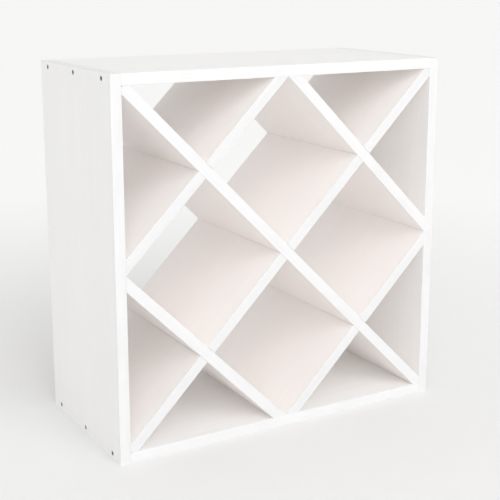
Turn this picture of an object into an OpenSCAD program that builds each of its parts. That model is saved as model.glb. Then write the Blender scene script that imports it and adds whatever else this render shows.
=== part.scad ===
// Open wine rack cube: a square case of laminated boards around a diamond lattice.
// Two long dividers run corner to corner and four short ones join the middles of the
// case's sides. They cross in half-lap slots and make four diamond and eight triangular
// cells. The front faces -Y, +Z is up and the origin is the middle of the base.

/* [Case] */
// Width of the case, and its height, because it is square
case_size = 610; // [560:10:660]
// Depth of the case from front to back
case_d = 290; // [240:5:330]
// Thickness of every board
board_t = 18; // [16:1:20]
// Thickness of the edge band glued along the boards' edges
band_t = 0.8; // [0.4:0.1:1.2]

/* [Lattice] */
// Gap on each side of a board in the slot that it crosses
slot_gap = 0.2; // [0.1:0.05:0.4]
// Gap between the ends of two slots where their boards meet at half depth
slot_end_gap = 0.5; // [0.2:0.1:1]
// Width of the blunt tip at each end of a long divider
tip_flat = 2.4; // [0.5:0.1:3]

/* [Case screws] */
// Distance of the front and back screws from the case's front and back
screw_inset = 32; // [25:1:45]
// Overall length of a screw
screw_len = 50; // [45:1:60]
// Outer diameter of the thread
screw_d = 5; // [4:0.5:6]
// Diameter of the screw's core between the turns of its thread
screw_core_d = 3.6; // [3:0.1:3.9]
// Diameter of the screw's head
head_d = 8; // [7:0.5:9]
// Straight height of the head above its countersunk part
head_h = 1.2; // [0.8:0.1:2]
// Depth of the head below the side's face
head_sink = 0.3; // [0:0.1:0.8]
// Distance between turns of the thread
thread_pitch = 3; // [2:0.5:4]
// Width of the hexagonal socket across its flats
socket_w = 4; // [3:0.5:4]
// Depth of the hexagonal socket
socket_depth = 2.6; // [2:0.1:3]

/* [Dowels] */
// Diameter of a dowel
dowel_d = 8; // [6:1:9]
// Length of a dowel
dowel_len = 30; // [25:1:36]
// How much of the dowel is in the side
dowel_in_side = 11; // [8:1:12]
// Number of glue grooves around a dowel
groove_count = 12; // [8:1:16]

/* [Hidden] */
$fn = 48;

half_w = case_size / 2;
half_d = case_d / 2;
inner_half = half_w - board_t;
core_half_d = half_d - band_t;
mid_z = case_size / 2;
overlap = 1;

// A short divider's inner face runs from the middle of one inner wall to the next,
// so its middle plane lies this far from the centre of the case.
short_off = inner_half / sqrt(2) + board_t / 2;
lattice_offs = [-short_off, 0, short_off];
long_len = 2 * inner_half * sqrt(2) - tip_flat;

// Corner joints: three screws with a dowel between each pair.
screw_y = half_d - screw_inset;
screw_ys = [-screw_y, 0, screw_y];
dowel_ys = [-screw_y / 2, screw_y / 2];
bottom_joint_z = board_t / 2;
top_joint_z = case_size - board_t / 2;

neck_h = (head_d - screw_d) / 2;
shank_end = board_t - head_sink;
tip_h = screw_core_d / 2;
thread_turns = floor((screw_len - tip_h - shank_end) / thread_pitch);
screw_hole_gap = 0.1;
dowel_end_gap = 0.5;
dowel_chamfer = 1;
groove_d = 0.7;

laminate = [0.93, 0.92, 0.91];
banding = [0.98, 0.98, 0.98];
steel = [0.42, 0.42, 0.43];
beech = [0.80, 0.64, 0.44];

// ---- Fasteners, each along +X from the left side's outer face at x = 0 ----

// One thread ridge: its root, crest and next root along the screw.
function thread_ridge(start) = [
    [screw_core_d / 2, start],
    [screw_d / 2, start + thread_pitch * 0.4],
    [screw_d / 2, start + thread_pitch * 0.5],
    [screw_core_d / 2, start + thread_pitch * 0.9]
];

// Half outline of a screw from its head's top to its tip, as radius and distance.
screw_outline = concat(
    [[0, 0], [head_d / 2, 0], [head_d / 2, head_h], [screw_d / 2, head_h + neck_h]],
    [[screw_d / 2, shank_end]],
    [for (turn = [0:thread_turns - 1]) each thread_ridge(shank_end + turn * thread_pitch + 0.3)],
    [[screw_core_d / 2, screw_len - tip_h], [0.4, screw_len], [0, screw_len]]
);

module screw() {
    translate([head_sink, 0, 0])
        rotate([0, 90, 0])
            difference() {
                rotate_extrude() polygon(screw_outline);
                translate([0, 0, -overlap])
                    cylinder(d = socket_w / cos(30), h = socket_depth + overlap, $fn = 6);
            }
}

module screw_hole_in_side() {
    hole_d = screw_d + 2 * screw_hole_gap;
    rotate([0, 90, 0]) {
        translate([0, 0, -overlap])
            cylinder(d = hole_d, h = board_t + 2 * overlap);
        translate([0, 0, -overlap])
            cylinder(d = head_d, h = head_sink + head_h + overlap);
        translate([0, 0, head_sink + head_h])
            cylinder(d1 = head_d, d2 = screw_d, h = neck_h);
    }
}

module screw_hole_in_panel() {
    translate([board_t, 0, 0])
        rotate([0, 90, 0])
            translate([0, 0, -overlap])
                cylinder(d = screw_d, h = screw_len - board_t + 2 * overlap);
}

module dowel() {
    translate([board_t - dowel_in_side, 0, 0])
        rotate([0, 90, 0])
            intersection() {
                rotate_extrude()
                    polygon([
                        [0, 0],
                        [dowel_d / 2 - dowel_chamfer, 0],
                        [dowel_d / 2, dowel_chamfer],
                        [dowel_d / 2, dowel_len - dowel_chamfer],
                        [dowel_d / 2 - dowel_chamfer, dowel_len],
                        [0, dowel_len]
                    ]);
                linear_extrude(dowel_len)
                    difference() {
                        circle(d = dowel_d + overlap);
                        for (i = [0:groove_count - 1])
                            rotate(i * 360 / groove_count)
                                translate([dowel_d / 2, 0])
                                    circle(d = groove_d, $fn = 16);
                    }
            }
}

module dowel_hole() {
    translate([board_t - dowel_in_side - dowel_end_gap, 0, 0])
        rotate([0, 90, 0])
            cylinder(d = dowel_d, h = dowel_len + 2 * dowel_end_gap);
}

// Places its children at each y of one left corner joint.
module at_joint(ys, z) {
    for (y = ys)
        translate([-half_w, y, z])
            children();
}

// ---- Case ----

module side_core() {
    difference() {
        translate([-half_w, -core_half_d, 0])
            cube([board_t, 2 * core_half_d, case_size - band_t]);
        for (z = [bottom_joint_z, top_joint_z]) {
            at_joint(screw_ys, z) screw_hole_in_side();
            at_joint(dowel_ys, z) dowel_hole();
        }
    }
}

// side is -1 for the front edge and 1 for the back edge.
module side_long_band(side) {
    translate([-half_w, side < 0 ? -half_d : core_half_d, 0])
        cube([board_t, band_t, case_size]);
}

module side_top_band() {
    translate([-half_w, -core_half_d, case_size - band_t])
        cube([board_t, 2 * core_half_d, band_t]);
}

module panel_core(z) {
    difference() {
        translate([-inner_half, -core_half_d, z - board_t / 2])
            cube([2 * inner_half, 2 * core_half_d, board_t]);
        for (end = [0, 1])
            mirror([end, 0, 0]) {
                at_joint(screw_ys, z) screw_hole_in_panel();
                at_joint(dowel_ys, z) dowel_hole();
            }
    }
}

module panel_band(side, z) {
    translate([-inner_half, side < 0 ? -half_d : core_half_d, z - board_t / 2])
        cube([2 * inner_half, band_t, board_t]);
}

// ---- Lattice ----

// A slab at 45 degrees: lean is 1 if it rises to the right and -1 if it falls, off is
// its distance above the centre of the case, and front and back are its ends in y.
module slab(lean, off, thick, len, front, back) {
    translate([0, 0, mid_z])
        rotate([0, -45 * lean, 0])
            translate([-len / 2, front, off - thick / 2])
                cube([len, back - front, thick]);
}

module case_opening() {
    translate([-inner_half, -half_d, board_t])
        cube([2 * inner_half, case_d, 2 * inner_half]);
}

// Part of a divider between two depths, with its slots cut where other dividers cross.
// A rising divider's slots open at the front and a falling one's at the back.
module divider(lean, off, front, back) {
    crossings = off == 0 ? lattice_offs : [0];
    slot_w = board_t + 2 * slot_gap;
    slot_front = lean > 0 ? -half_d - overlap : -slot_end_gap / 2;
    slot_back = lean > 0 ? slot_end_gap / 2 : half_d + overlap;
    difference() {
        intersection() {
            slab(lean, off, board_t, long_len, front, back);
            case_opening();
        }
        for (cross_off = crossings)
            slab(-lean, cross_off, slot_w, case_size, slot_front, slot_back);
    }
}

module divider_core(lean, off) {
    color(laminate) divider(lean, off, -core_half_d, core_half_d);
}

module divider_front_band(lean, off) {
    color(banding) divider(lean, off, -half_d, -core_half_d);
}

module divider_back_band(lean, off) {
    color(banding) divider(lean, off, core_half_d, half_d);
}

// ---- Sub-parts ----

module left_side() {
    color(laminate) side_core();
}

module right_side() {
    color(laminate) mirror([1, 0, 0]) side_core();
}

module top_panel() {
    color(laminate) panel_core(top_joint_z);
}

module bottom_panel() {
    color(laminate) panel_core(bottom_joint_z);
}

module falling_long_divider() {
    divider_core(-1, 0);
}

module rising_long_divider() {
    divider_core(1, 0);
}

module upper_left_divider() {
    divider_core(1, short_off);
}

module upper_right_divider() {
    divider_core(-1, short_off);
}

module lower_left_divider() {
    divider_core(-1, -short_off);
}

module lower_right_divider() {
    divider_core(1, -short_off);
}

module left_side_band(side) {
    color(banding) side_long_band(side);
}

module right_side_band(side) {
    color(banding) mirror([1, 0, 0]) side_long_band(side);
}

module left_side_top_band() {
    color(banding) side_top_band();
}

module right_side_top_band() {
    color(banding) mirror([1, 0, 0]) side_top_band();
}

module top_panel_band(side) {
    color(banding) panel_band(side, top_joint_z);
}

module bottom_panel_band(side) {
    color(banding) panel_band(side, bottom_joint_z);
}

module left_screws(z) {
    color(steel) at_joint(screw_ys, z) screw();
}

module right_screws(z) {
    color(steel) mirror([1, 0, 0]) at_joint(screw_ys, z) screw();
}

module left_dowels(z) {
    color(beech) at_joint(dowel_ys, z) dowel();
}

module right_dowels(z) {
    color(beech) mirror([1, 0, 0]) at_joint(dowel_ys, z) dowel();
}

left_side();
right_side();
top_panel();
bottom_panel();
falling_long_divider();
rising_long_divider();
upper_left_divider();
upper_right_divider();
lower_left_divider();
lower_right_divider();

left_side_band(-1);  // left_side_front_band
left_side_band(1);  // left_side_back_band
left_side_top_band();
right_side_band(-1);  // right_side_front_band
right_side_band(1);  // right_side_back_band
right_side_top_band();
top_panel_band(-1);  // top_panel_front_band
top_panel_band(1);  // top_panel_back_band
bottom_panel_band(-1);  // bottom_panel_front_band
bottom_panel_band(1);  // bottom_panel_back_band

divider_front_band(-1, 0);  // falling_long_divider_front_band
divider_back_band(-1, 0);  // falling_long_divider_back_band
divider_front_band(1, 0);  // rising_long_divider_front_band
divider_back_band(1, 0);  // rising_long_divider_back_band
divider_front_band(1, short_off);  // upper_left_divider_front_band
divider_back_band(1, short_off);  // upper_left_divider_back_band
divider_front_band(-1, short_off);  // upper_right_divider_front_band
divider_back_band(-1, short_off);  // upper_right_divider_back_band
divider_front_band(-1, -short_off);  // lower_left_divider_front_band
divider_back_band(-1, -short_off);  // lower_left_divider_back_band
divider_front_band(1, -short_off);  // lower_right_divider_front_band
divider_back_band(1, -short_off);  // lower_right_divider_back_band

left_screws(top_joint_z);  // top_left_screws
right_screws(top_joint_z);  // top_right_screws
left_screws(bottom_joint_z);  // bottom_left_screws
right_screws(bottom_joint_z);  // bottom_right_screws
left_dowels(top_joint_z);  // top_left_dowels
right_dowels(top_joint_z);  // top_right_dowels
left_dowels(bottom_joint_z);  // bottom_left_dowels
right_dowels(bottom_joint_z);  // bottom_right_dowels
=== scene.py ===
"""Looks for the white wine rack cube: edge bands, screws and dowels in full detail around
the CAD boards, a procedural material for every piece, and a plain pale studio."""

import math

import bmesh
import bpy
from mathutils import Matrix, Vector

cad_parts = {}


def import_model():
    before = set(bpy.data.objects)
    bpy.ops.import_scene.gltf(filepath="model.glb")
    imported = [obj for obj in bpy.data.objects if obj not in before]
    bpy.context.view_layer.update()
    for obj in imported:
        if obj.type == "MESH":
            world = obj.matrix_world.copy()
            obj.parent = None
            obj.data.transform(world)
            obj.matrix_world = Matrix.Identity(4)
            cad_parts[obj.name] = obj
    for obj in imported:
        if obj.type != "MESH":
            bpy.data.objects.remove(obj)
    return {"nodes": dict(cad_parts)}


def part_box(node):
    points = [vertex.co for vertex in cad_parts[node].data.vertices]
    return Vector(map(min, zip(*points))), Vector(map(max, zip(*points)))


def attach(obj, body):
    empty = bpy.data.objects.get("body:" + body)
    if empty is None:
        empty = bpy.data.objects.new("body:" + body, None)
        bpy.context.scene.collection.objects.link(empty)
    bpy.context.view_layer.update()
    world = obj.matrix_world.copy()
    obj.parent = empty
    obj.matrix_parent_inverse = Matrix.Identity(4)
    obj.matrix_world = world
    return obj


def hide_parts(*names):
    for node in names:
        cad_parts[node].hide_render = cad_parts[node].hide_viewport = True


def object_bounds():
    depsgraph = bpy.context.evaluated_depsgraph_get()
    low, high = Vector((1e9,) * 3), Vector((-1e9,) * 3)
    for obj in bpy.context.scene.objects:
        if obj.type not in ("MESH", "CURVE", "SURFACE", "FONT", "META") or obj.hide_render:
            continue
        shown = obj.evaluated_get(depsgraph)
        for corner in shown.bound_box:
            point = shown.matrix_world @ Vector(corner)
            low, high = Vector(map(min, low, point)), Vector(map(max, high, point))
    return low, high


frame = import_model()
cad_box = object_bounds()

# ---- Sizes, in metres ----

MM = 0.001
SQRT2 = math.sqrt(2)
X, Y, Z = Vector((1, 0, 0)), Vector((0, 1, 0)), Vector((0, 0, 1))

HALF_W, HALF_D, TOP_Z = cad_box[1]
MID_Z = TOP_Z / 2
side_low, side_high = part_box("left_side")
BOARD_T = side_high.x - side_low.x
CORE_HALF_D = side_high.y
BAND_T = HALF_D - CORE_HALF_D
INNER_HALF = HALF_W - BOARD_T

# A short divider's middle plane lies this far from the centre of the case.
SHORT_OFF = INNER_HALF / SQRT2 + BOARD_T / 2

# The air on each side of a board in its half-lap slot, and a long divider's blunt tip.
SLOT_GAP = 0.2 * MM
TIP_FLAT = 2.4 * MM

# ---- Materials ----

# Each pair of whites is the darker and the lighter end of a board's cloudiness.
# The dividers' whites are warmer than the case's. This is the laminate's own warm white, pushed
# further as painted warm shade for the light inside the cells.
CASE_WHITES = (0.91, 0.905, 0.90), (0.935, 0.93, 0.925)
DIVIDER_WHITES_WARM_SHADE = (0.915, 0.884, 0.868), (0.935, 0.906, 0.893)
FOIL_T = 0.25 * MM
FACE_COSINE = 0.7
CHIP_DARK = (0.16, 0.09, 0.045)
CHIP_MIDDLE = (0.43, 0.28, 0.15)
CHIP_LIGHT = (0.66, 0.50, 0.31)

# The greys of the edge bands, by the way they run, and how far each one's marks vary.
# These greys are painted shade. The bands are one white, set darker than white and varied by
# direction to stand in for how the light falls on each.
LEVEL_BAND_PAINTED_SHADE = 0.77
FALLING_BAND_PAINTED_SHADE = 0.76
UPRIGHT_BAND_PAINTED_SHADE = 0.75
RISING_BAND_PAINTED_SHADE = 0.735
TOP_END_BAND_PAINTED_SHADE = 0.84
BAND_CONTRAST = 0.03
BAND_BLUE_DARK = 0.003
BAND_BLUE_LIGHT = 0.008
GLUE = (0.55, 0.48, 0.38)
GLUE_T = 0.08 * MM

ZINC_DARK = (0.20, 0.20, 0.21)
ZINC_LIGHT = (0.42, 0.42, 0.43)
BEECH_DARK = (0.50, 0.31, 0.17)
BEECH_MIDDLE = (0.66, 0.46, 0.28)
BEECH_LIGHT = (0.74, 0.56, 0.37)
BEECH_FLECK = (0.36, 0.20, 0.11)


class Graph:
    """Short calls that build the node tree of a material or of the world."""

    def __init__(self, owner, shader="Principled BSDF", place="Object"):
        owner.use_nodes = True
        self.owner = owner
        self.tree = owner.node_tree
        self.shader = self.tree.nodes[shader]
        self.place = self.add("ShaderNodeTexCoord").outputs[place]

    def feed(self, socket, value):
        if isinstance(value, bpy.types.NodeSocket):
            self.tree.links.new(value, socket)
        else:
            socket.default_value = value

    def add(self, kind, settings=None, **inputs):
        node = self.tree.nodes.new(kind)
        for key, value in (settings or {}).items():
            setattr(node, key, value)
        for key, value in inputs.items():
            self.feed(node.inputs[key.replace("_", " ")], value)
        return node

    def math(self, operation, *values, clamp=False):
        node = self.add("ShaderNodeMath", {"operation": operation, "use_clamp": clamp})
        for socket, value in zip(node.inputs, values):
            self.feed(socket, value)
        return node.outputs[0]

    def vector(self, operation, *values, output="Vector"):
        node = self.add("ShaderNodeVectorMath", {"operation": operation})
        for socket, value in zip(node.inputs, values):
            self.feed(socket, value)
        return node.outputs[output]

    def weighted(self, first, first_part, second, second_part):
        first = self.math("MULTIPLY", first, first_part)
        return self.math("MULTIPLY_ADD", second, second_part, first)

    def varied(self, base, pattern, amount):
        """The base, raised by an amount of a pattern."""
        return self.math("MULTIPLY_ADD", pattern, amount, base)

    def blend(self, factor, low, high):
        return self.add("ShaderNodeMix", Factor=factor, A=low, B=high).outputs[0]

    def blend_colour(self, factor, low, high):
        node = self.add("ShaderNodeMix", {"data_type": "RGBA"})
        sockets = [s for s in node.inputs if s.type == "RGBA"]
        self.feed(node.inputs["Factor"], factor)
        for socket, value in zip(sockets, (low, high)):
            self.feed(socket, (*value, 1) if isinstance(value, tuple) else value)
        return next(s for s in node.outputs if s.type == "RGBA")

    def ramp(self, value, *stops):
        node = self.add("ShaderNodeValToRGB", Fac=value)
        elements = node.color_ramp.elements
        while len(elements) < len(stops):
            elements.new(0.5)
        for element, (position, colour) in zip(elements, stops):
            element.position = position
            element.color = (*colour, 1)
        return node.outputs["Color"]

    def noise(self, place, scale, detail=2.0, roughness=0.5):
        inputs = {"Vector": place, "Scale": scale, "Detail": detail, "Roughness": roughness}
        return self.add("ShaderNodeTexNoise", **inputs).outputs["Fac"]

    def streaks(self, place, along, across, through, detail=3.0):
        """Noise with so many features per metre along X, across it in Y and through in Z."""
        drawn = self.vector("MULTIPLY", place, Vector((along, across, through)))
        return self.noise(drawn, scale=1.0, detail=detail, roughness=0.6)

    def turned(self, angle):
        """The piece's own place, turned about Y so that X runs along a board."""
        settings = {"rotation_type": "Y_AXIS"}
        node = self.add("ShaderNodeVectorRotate", settings, Vector=self.place, Angle=angle)
        return node.outputs[0]

    def bump(self, height, distance, strength):
        node = self.add("ShaderNodeBump", Height=height, Distance=distance, Strength=strength)
        return node.outputs[0]

    def surface(self, **inputs):
        for key, value in inputs.items():
            self.feed(self.shader.inputs[key.replace("_", " ")], value)
        return self.owner


def material_graph(name):
    return Graph(bpy.data.materials.new(name))


def chipboard(graph, place, from_middle):
    """Colour and height of a cut chipboard edge: coarse chips in the middle, dust at the faces.
    from_middle is 0 in the board's middle plane and 1 at its faces."""
    chips = graph.add("ShaderNodeTexVoronoi", Vector=place, Scale=260.0)
    tint = graph.add("ShaderNodeSeparateColor", Color=chips.outputs["Color"]).outputs[0]
    dust = graph.noise(place, scale=2200.0, detail=4.0, roughness=0.7)
    coarse = graph.math("SUBTRACT", 1.2, from_middle, clamp=True)
    tone = graph.weighted(graph.math("MULTIPLY", tint, coarse), 0.8, dust, 0.5)
    colour = graph.ramp(tone, (0.1, CHIP_DARK), (0.42, CHIP_MIDDLE), (0.85, CHIP_LIGHT))
    height = graph.weighted(chips.outputs["Distance"], coarse, dust, 1.0)
    return colour, height


def board_material(name, angle, middle, seed, whites):
    """White melamine on the two faces of a board and raw chipboard on its cut edges. angle turns
    X onto the board's length, middle is where its middle plane then lies in Z, and seed gives
    the board a grain of its own."""
    dark, light = whites
    graph = material_graph(name)
    place = graph.turned(angle)
    depth = graph.add("ShaderNodeSeparateXYZ", Vector=place).outputs["Z"]
    off_middle = graph.math("ABSOLUTE", graph.math("SUBTRACT", depth, middle))
    own_place = graph.vector("ADD", place, Vector((1.7 * seed, 0.9 * seed, 0)))

    grain = graph.streaks(own_place, along=5, across=130, through=1, detail=4.0)
    clouds = graph.noise(own_place, scale=9.0, detail=3.0)
    tone = graph.weighted(grain, 0.6, clouds, 0.4)
    white = graph.ramp(tone, (0.36, dark), (0.62, light))
    pearl = graph.noise(own_place, scale=1500.0)
    pores = graph.streaks(own_place, along=40, across=1500, through=1)
    face_height = graph.weighted(pearl, 1.0, pores, 0.8)

    raw, raw_height = chipboard(graph, own_place, graph.math("DIVIDE", off_middle, BOARD_T / 2))
    normal = graph.add("ShaderNodeNewGeometry").outputs["True Normal"]
    through = Vector((-math.sin(angle), 0, math.cos(angle)))
    facing = graph.math("ABSOLUTE", graph.vector("DOT_PRODUCT", normal, through, output="Value"))
    is_face = graph.math("GREATER_THAN", facing, FACE_COSINE)
    is_foil = graph.math("GREATER_THAN", off_middle, BOARD_T / 2 - FOIL_T)
    is_white = graph.math("MAXIMUM", is_face, is_foil)
    height = graph.blend(is_white, raw_height, face_height)
    return graph.surface(
        Base_Color=graph.blend_colour(is_white, raw, white),
        Roughness=graph.blend(is_white, 0.9, graph.varied(0.4, pearl, 0.14)),
        Normal=graph.bump(height, distance=0.03 * MM, strength=0.5),
    )


def band_material(name, angle, white, in_front=True):
    """Satin white edge band with drawing marks along it. A band on a front or back edge runs
    at the angle given and shows a thin glue line, and the others run from front to back."""
    graph = material_graph(name)
    if in_front:
        place = graph.turned(angle)
        marks = graph.streaks(place, along=5, across=1400, through=160)
    else:
        place = graph.place
        marks = graph.streaks(place, along=160, across=5, through=1400)
    clouds = graph.noise(place, scale=14.0)
    tone = graph.weighted(marks, 0.5, clouds, 0.5)
    # white is a painted shade grey, set by the way the band runs to stand in for how the light
    # falls on it.
    low, high = white - BAND_CONTRAST / 2, white + BAND_CONTRAST / 2
    dark = (low, low, low + BAND_BLUE_DARK)
    light = (high, high, high + BAND_BLUE_LIGHT)
    colour = graph.ramp(tone, (0.38, dark), (0.6, light))
    if in_front:
        depth = graph.add("ShaderNodeSeparateXYZ", Vector=graph.place).outputs["Y"]
        glued = graph.math("LESS_THAN", graph.math("ABSOLUTE", depth), CORE_HALF_D + GLUE_T)
        colour = graph.blend_colour(glued, colour, GLUE)
    return graph.surface(
        Base_Color=colour,
        Roughness=graph.varied(0.28, marks, 0.16),
        Normal=graph.bump(marks, distance=0.01 * MM, strength=0.6),
    )


def zinc_material():
    graph = material_graph("zinc_plated_steel")
    blotches = graph.noise(graph.place, scale=700.0, detail=4.0, roughness=0.6)
    brushed = graph.noise(graph.place, scale=4200.0)
    return graph.surface(
        Base_Color=graph.ramp(blotches, (0.3, ZINC_DARK), (0.7, ZINC_LIGHT)),
        Metallic=1.0,
        Roughness=graph.varied(0.3, brushed, 0.25),
        Normal=graph.bump(brushed, distance=0.02 * MM, strength=0.4),
    )


def beech_material():
    graph = material_graph("beech")
    grain = graph.streaks(graph.place, along=60, across=900, through=900, detail=4.0)
    rays = graph.streaks(graph.place, along=500, across=3200, through=3200)
    flecks = graph.math("MULTIPLY", graph.math("GREATER_THAN", rays, 0.62), 0.35)
    wood = graph.ramp(grain, (0.3, BEECH_DARK), (0.55, BEECH_MIDDLE), (0.75, BEECH_LIGHT))
    return graph.surface(
        Base_Color=graph.blend_colour(flecks, wood, BEECH_FLECK),
        Roughness=0.7,
        Normal=graph.bump(grain, distance=0.05 * MM, strength=0.5),
    )


# ---- Pieces ----

SHARP_ANGLE = math.radians(35)


def piece(name, vertices, faces, material, node):
    """One finished mesh that rides on the rack and stands for a CAD node."""
    mesh = bpy.data.meshes.new(name)
    mesh.from_pydata(vertices, [], faces)
    shell = bmesh.new()
    shell.from_mesh(mesh)
    bmesh.ops.recalc_face_normals(shell, faces=shell.faces)
    shell.to_mesh(mesh)
    shell.free()
    mesh.shade_smooth()
    mesh.set_sharp_from_angle(angle=SHARP_ANGLE)
    mesh.materials.append(material)
    made = bpy.data.objects.new(name, mesh)
    bpy.context.scene.collection.objects.link(made)
    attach(made, "root")
    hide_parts(node)
    return made


# ---- Edge bands ----

BAND_ROUND = 0.6 * MM
ROUND_STEPS = 5


def band_stations(tip_places):
    """Places across a band and its height there: flat, with both long edges rounded over.
    tip_places adds the places where the band's mitred ends have a corner."""
    turns = [math.pi / 2 * step / ROUND_STEPS for step in range(ROUND_STEPS + 1)]
    right = [
        (
            BOARD_T / 2 - BAND_ROUND * (1 - math.sin(turn)),
            BAND_T - BAND_ROUND * (1 - math.cos(turn)),
        )
        for turn in turns
    ]
    left = [(-across, height) for across, height in reversed(right)]
    return left + [(across, BAND_T) for across in tip_places] + right


def band(node, centre, along, out, half_length, material, gaps=(), tip_places=()):
    """A strip on a board's edge. half_length gives its reach along the board at each place
    across it, which cuts its ends to a mitre, and gaps are the stretches that slots take out."""
    across = out.cross(along)
    cuts = [None, *[place for gap in gaps for place in gap], None]
    stations = band_stations(tip_places)
    vertices, faces = [], []
    for low, high in zip(cuts[::2], cuts[1::2]):
        first = len(vertices)
        for offset, height in stations:
            start = -half_length(offset) if low is None else low
            end = half_length(offset) if high is None else high
            for level in (0, height):
                for reach in (start, end):
                    vertices.append(centre + along * reach + across * offset + out * level)
        for index in range(len(stations) - 1):
            corner = first + 4 * index
            for one, other in ((0, 1), (1, 3), (3, 2), (2, 0)):
                quad = (one, other, other + 4, one + 4)
                faces.append(tuple(corner + step for step in quad))
        for wall in (first, len(vertices) - 4):
            faces.append((wall, wall + 1, wall + 3, wall + 2))
    return piece(f"{node}_strip", vertices, faces, material, node)


def case_bands():
    # Each band direction takes its own painted shade grey.
    upright = band_material("edge_band_upright", math.pi / 2, UPRIGHT_BAND_PAINTED_SHADE)
    level = band_material("edge_band_level", 0, LEVEL_BAND_PAINTED_SHADE)
    top_end = band_material("edge_band_top_end", 0, TOP_END_BAND_PAINTED_SHADE, in_front=False)
    for face, out in (("front", -Y), ("back", Y)):
        edge = out * CORE_HALF_D
        for name, side in (("left", -1), ("right", 1)):
            centre = edge + X * side * (HALF_W - BOARD_T / 2) + Z * MID_Z
            band(f"{name}_side_{face}_band", centre, Z, out, lambda _: MID_Z, upright)
        for name, height in (("bottom", BOARD_T / 2), ("top", TOP_Z - BOARD_T / 2)):
            centre = edge + Z * height
            band(f"{name}_panel_{face}_band", centre, X, out, lambda _: INNER_HALF, level)
    for name, side in (("left", -1), ("right", 1)):
        centre = X * side * (HALF_W - BOARD_T / 2) + Z * (TOP_Z - BAND_T)
        band(f"{name}_side_top_band", centre, Y, Z, lambda _: CORE_HALF_D, top_end)


# The six dividers: lean is 1 if it rises to the right and -1 if it falls.
DIVIDERS = {
    "falling_long_divider": (-1, 0),
    "rising_long_divider": (1, 0),
    "upper_left_divider": (1, SHORT_OFF),
    "upper_right_divider": (-1, SHORT_OFF),
    "lower_left_divider": (-1, -SHORT_OFF),
    "lower_right_divider": (1, -SHORT_OFF),
}


def divider_bands():
    half_slot = BOARD_T / 2 + SLOT_GAP
    longest = INNER_HALF * SQRT2 - TIP_FLAT / 2
    materials = {
        1: band_material("edge_band_rising", math.pi / 4, RISING_BAND_PAINTED_SHADE),
        -1: band_material("edge_band_falling", -math.pi / 4, FALLING_BAND_PAINTED_SHADE),
    }
    for name, (lean, off) in DIVIDERS.items():
        along = Vector((1, 0, lean)).normalized()
        up = Vector((-lean, 0, 1)).normalized()
        crossings = (0,) if off else (-SHORT_OFF, 0, SHORT_OFF)
        tips = () if off else (-TIP_FLAT / 2, TIP_FLAT / 2)
        for face, out in (("front", -Y), ("back", Y)):
            turned = out.cross(along).dot(up)

            def half_length(offset):
                return min(INNER_HALF * SQRT2 - abs(off + turned * offset), longest)

            slotted = lean == (1 if face == "front" else -1)
            gaps = [(c - half_slot, c + half_slot) for c in crossings] if slotted else ()
            centre = out * CORE_HALF_D + Z * MID_Z + up * off
            node = f"{name}_{face}_band"
            band(node, centre, along, out, half_length, materials[lean], gaps, tips)


# ---- Screws and dowels ----

SCREW_SIDES = 48
SOCKET_W = 4 * MM
SOCKET_DEPTH = 2.6 * MM
SOCKET_CHAMFER = 0.25 * MM
SOCKET_FLOOR_DROP = 0.3 * MM
SOCKET_FLOOR_INSET = 0.4 * MM
HEAD_H = 1.2 * MM
HEAD_ROUND = 0.35 * MM
HEAD_RIM = 0.3 * MM
SHANK_R = 2.5 * MM
CORE_R = 1.8 * MM
THREAD_PITCH = 3 * MM
THREAD_LEAD = 0.6 * MM
RINGS_PER_TURN = 10

# Half the width of the thread's ridge at its foot and the width of its flank, in pitches.
RIDGE_HALF_W = 0.25
RIDGE_FLANK = 0.2

# The screw's point, and how far along it each of its rings lies.
POINT_H = 3.5 * MM
POINT_R = 0.2 * MM
POINT_PARTS = 0.35, 0.7, 0.93, 1

# How far each screw or dowel is turned past its neighbour, and past the one a metre below.
TURN_BESIDE = 1.1
TURN_PER_METRE = 7

DOWEL_CHAMFER = 1 * MM
DOWEL_GROOVES = 12
SIDES_PER_GROOVE = 8
GROOVE_DEPTH = 0.35 * MM
GROOVE_SHARPNESS = 3


def lathe(rings, sides):
    """A closed round solid along +Z. Each ring is a function of the angle that gives a radius
    and a height, and the first and last rings close on their own middles."""
    vertices, faces = [], []
    for ring in rings:
        for side in range(sides):
            angle = 2 * math.pi * side / sides
            radius, height = ring(angle)
            vertices.append(Vector((radius * math.cos(angle), radius * math.sin(angle), height)))
    for ring in range(len(rings) - 1):
        for side in range(sides):
            here, beside = ring * sides + side, ring * sides + (side + 1) % sides
            faces.append((here, beside, beside + sides, here + sides))
    for first in (0, len(vertices) - sides):
        middle = sum(vertices[first : first + sides], Vector()) / sides
        vertices.append(middle)
        for side in range(sides):
            faces.append((first + side, first + (side + 1) % sides, len(vertices) - 1))
    return vertices, faces


def plain_ring(radius, height):
    return lambda angle: (radius, height)


def socket_ring(grow, height):
    """A hexagon, grown outwards by the amount given."""

    def ring(angle):
        from_flat = (angle + math.pi / 6) % (math.pi / 3) - math.pi / 6
        return (SOCKET_W / 2 + grow) / math.cos(from_flat), height

    return ring


def thread_ring(height, start, end):
    """The core with the thread's ridge standing out of it, faded in and out at its ends."""

    def ring(angle):
        phase = (height / THREAD_PITCH - angle / (2 * math.pi)) % 1
        rise = (RIDGE_HALF_W - abs(phase - 0.5)) / RIDGE_FLANK
        ridge = min(1, max(0, rise))
        fade = min(1, (height - start) / THREAD_PITCH, (end - height) / THREAD_PITCH)
        return CORE_R + (SHANK_R - CORE_R) * ridge * max(0, fade), height

    return ring


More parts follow.
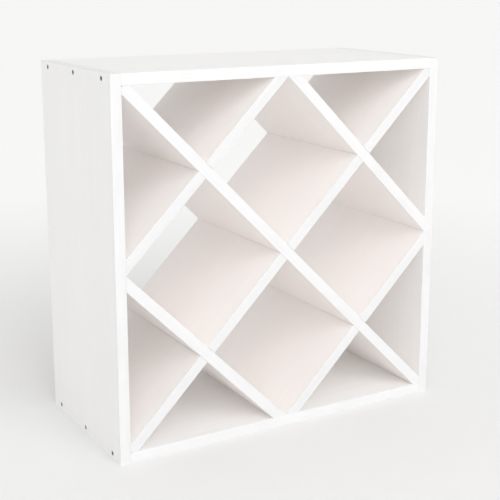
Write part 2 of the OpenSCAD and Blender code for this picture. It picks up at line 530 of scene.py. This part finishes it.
def screw_shape(head_r, length):
    """A screw from its socket's floor out over the head and down the thread to the point."""
    neck_end = HEAD_H + head_r - SHANK_R
    thread_start = BOARD_T
    thread_end = length - POINT_H
    rings = [
        socket_ring(-SOCKET_FLOOR_INSET, SOCKET_DEPTH + SOCKET_FLOOR_DROP),
        socket_ring(0, SOCKET_DEPTH),
        socket_ring(0, SOCKET_CHAMFER),
        socket_ring(SOCKET_CHAMFER, 0),
        plain_ring(head_r - HEAD_ROUND - HEAD_RIM, 0),
    ]
    for step in range(ROUND_STEPS + 1):
        turn = math.pi / 2 * step / ROUND_STEPS
        inset = HEAD_ROUND * (1 - math.sin(turn))
        rings.append(plain_ring(head_r - inset, HEAD_ROUND * (1 - math.cos(turn))))
    rings += [
        plain_ring(head_r, HEAD_H),
        plain_ring(SHANK_R, neck_end),
        plain_ring(SHANK_R, thread_start - THREAD_LEAD),
    ]
    count = round((thread_end - thread_start) / THREAD_PITCH * RINGS_PER_TURN)
    for step in range(count + 1):
        height = thread_start + (thread_end - thread_start) * step / count
        rings.append(thread_ring(height, thread_start, thread_end))
    for part in POINT_PARTS:
        radius = CORE_R * math.sqrt(1 - part**2) + POINT_R * part
        rings.append(plain_ring(radius, thread_end + POINT_H * part))
    return lathe(rings, SCREW_SIDES)


def grooved_ring(radius, height):
    def ring(angle):
        groove = max(0, math.cos(DOWEL_GROOVES * angle)) ** GROOVE_SHARPNESS
        return radius - GROOVE_DEPTH * groove, height

    return ring


def dowel_shape(radius, length):
    """A dowel with glue grooves along it and a chamfer at each end."""
    end_r = radius - DOWEL_CHAMFER
    rings = [
        plain_ring(end_r, 0),
        grooved_ring(radius, DOWEL_CHAMFER),
        grooved_ring(radius, length - DOWEL_CHAMFER),
        plain_ring(end_r, length),
    ]
    return lathe(rings, DOWEL_GROOVES * SIDES_PER_GROOVE)


def fasteners(kind, material, shape, count):
    """The groups of screws or dowels in the four corner joints, each like its CAD node."""
    for corner in ("top_left", "top_right", "bottom_left", "bottom_right"):
        node = f"{corner}_{kind}"
        low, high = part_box(node)
        radius = (high.z - low.z) / 2
        length = high.x - low.x
        inward = 1 if "left" in corner else -1
        start_x = low.x if inward > 0 else high.x
        shape_vertices, shape_faces = shape(radius, length)
        vertices, faces = [], []
        for index in range(count):
            y = low.y + radius + (high.y - low.y - 2 * radius) * index / (count - 1)
            turn = index * TURN_BESIDE + low.z * TURN_PER_METRE + inward
            place = Matrix.Translation((start_x, y, low.z + radius))
            place = place @ Matrix.Rotation(inward * math.pi / 2, 4, "Y")
            place = place @ Matrix.Rotation(turn, 4, "Z")
            faces += [tuple(v + len(vertices) for v in face) for face in shape_faces]
            vertices += [place @ vertex for vertex in shape_vertices]
        piece(f"{node}_detailed", vertices, faces, material, node)


# ---- Boards ----


def paint_boards():
    """A board's material knows which way the board runs and where its middle plane is."""
    lays = {
        "left_side": (math.pi / 2, HALF_W - BOARD_T / 2),
        "right_side": (math.pi / 2, BOARD_T / 2 - HALF_W),
        "top_panel": (0, TOP_Z - BOARD_T / 2),
        "bottom_panel": (0, BOARD_T / 2),
    }
    for name, (lean, off) in DIVIDERS.items():
        lays[name] = (lean * math.pi / 4, off + MID_Z / SQRT2)
    for seed, (name, (angle, middle)) in enumerate(lays.items()):
        node = frame["nodes"][name]
        node.data.materials.clear()
        # The dividers take the warmer whites, partly painted warm shade for the cells.
        whites = DIVIDER_WHITES_WARM_SHADE if name in DIVIDERS else CASE_WHITES
        node.data.materials.append(board_material(f"board_{name}", angle, middle, seed, whites))


# ---- Studio ----

FLOOR_R = 60.0
FLOOR_SIDES = 96
# The floor's near grey is painted shade, fading to the far white within about two metres of the
# middle.
FLOOR_NEAR_PAINTED_SHADE = (0.83, 0.83, 0.83)
FLOOR_FAR = (0.97, 0.97, 0.97)
FLOOR_SHADE_FADE = 2.0
DIFFUSE_BOUNCES = 12

# The room's light: everywhere, added overhead, at the horizon and in front of the rack.
SKY_COLOUR = (1.0, 0.998, 0.992, 1)
SKY_BASE = 0.53
SKY_ABOVE = 0.28
HORIZON_GLOW = 0.36
HORIZON_SHARPNESS = 9
FRONT_GLOW = 2.5
FRONT_SHARPNESS = 8
FRONT = Vector((-0.13, -0.86, 0.49)).normalized()

AIM = Vector((0.014, 0, 0.346))
CAMERA_AT = Vector((-0.901, -1.559, 0.749))
LENS = 76.0
SENSOR_W = 36
SHIFT_Y = -0.08
CLIP_END = 200


def floor():
    """A wide disc under the rack, nearly white, with painted shade that makes it pale grey below
    the rack and fades out further away.
    """
    graph = material_graph("studio_floor")
    distance = graph.vector("LENGTH", graph.place, output="Value")
    mottle = graph.noise(graph.place, scale=30.0, detail=3.0)
    # Painted shade: the floor is darker near the rack and lighter further out, with a little
    # random mottle.
    tone = graph.weighted(distance, 1 / FLOOR_SHADE_FADE, mottle, 0.1)
    material = graph.surface(
        Base_Color=graph.ramp(tone, (0.2, FLOOR_NEAR_PAINTED_SHADE), (1.0, FLOOR_FAR)),
        Roughness=0.85,
    )
    turns = [2 * math.pi * side / FLOOR_SIDES for side in range(FLOOR_SIDES)]
    rim = [(FLOOR_R * math.cos(turn), FLOOR_R * math.sin(turn), 0) for turn in turns]
    mesh = bpy.data.meshes.new("floor")
    mesh.from_pydata(rim, [], [tuple(range(FLOOR_SIDES))])
    mesh.materials.append(material)
    made = bpy.data.objects.new("floor", mesh)
    bpy.context.scene.collection.objects.link(made)


def softbox(name, at, towards, width, height, power):
    light = bpy.data.lights.new(name, "AREA")
    light.shape = "RECTANGLE"
    light.size, light.size_y = width, height
    light.energy = power
    made = bpy.data.objects.new(name, light)
    made.location = at
    made.rotation_euler = (Vector(towards) - Vector(at)).to_track_quat("-Z", "Y").to_euler()
    bpy.context.scene.collection.objects.link(made)


def world():
    """A soft white room: lighter overhead and at the horizon, brightest in front of the rack."""
    graph = Graph(bpy.data.worlds.new("studio"), "Background", "Generated")
    height = graph.add("ShaderNodeSeparateXYZ", Vector=graph.place).outputs["Z"]
    above = graph.math("MAXIMUM", height, 0)
    horizon = graph.math("POWER", graph.math("SUBTRACT", 1, above), HORIZON_SHARPNESS)
    towards = graph.vector("DOT_PRODUCT", graph.place, FRONT, output="Value")
    front = graph.math("POWER", graph.math("MAXIMUM", towards, 0), FRONT_SHARPNESS)
    strength = graph.varied(SKY_BASE, above, SKY_ABOVE)
    strength = graph.varied(strength, horizon, HORIZON_GLOW)
    strength = graph.varied(strength, front, FRONT_GLOW)
    return graph.surface(Color=SKY_COLOUR, Strength=strength)


def studio():
    scene = bpy.context.scene
    scene.world = world()
    scene.view_settings.view_transform = "Standard"
    scene.cycles.diffuse_bounces = DIFFUSE_BOUNCES

    floor()
    middle = (0, 0, MID_Z)
    softbox("front_softbox", at=(0, -1.6, 1.4), towards=middle, width=0.9, height=0.7, power=3)

    camera = bpy.data.cameras.new("camera")
    camera.lens = LENS
    camera.sensor_width = SENSOR_W
    camera.shift_y = SHIFT_Y
    camera.clip_end = CLIP_END
    made = bpy.data.objects.new("camera", camera)
    made.location = CAMERA_AT
    made.rotation_euler = (AIM - CAMERA_AT).to_track_quat("-Z", "Y").to_euler()
    scene.collection.objects.link(made)
    scene.camera = made


studio()
paint_boards()
case_bands()
divider_bands()
fasteners("screws", zinc_material(), screw_shape, 3)
fasteners("dowels", beech_material(), dowel_shape, 2)
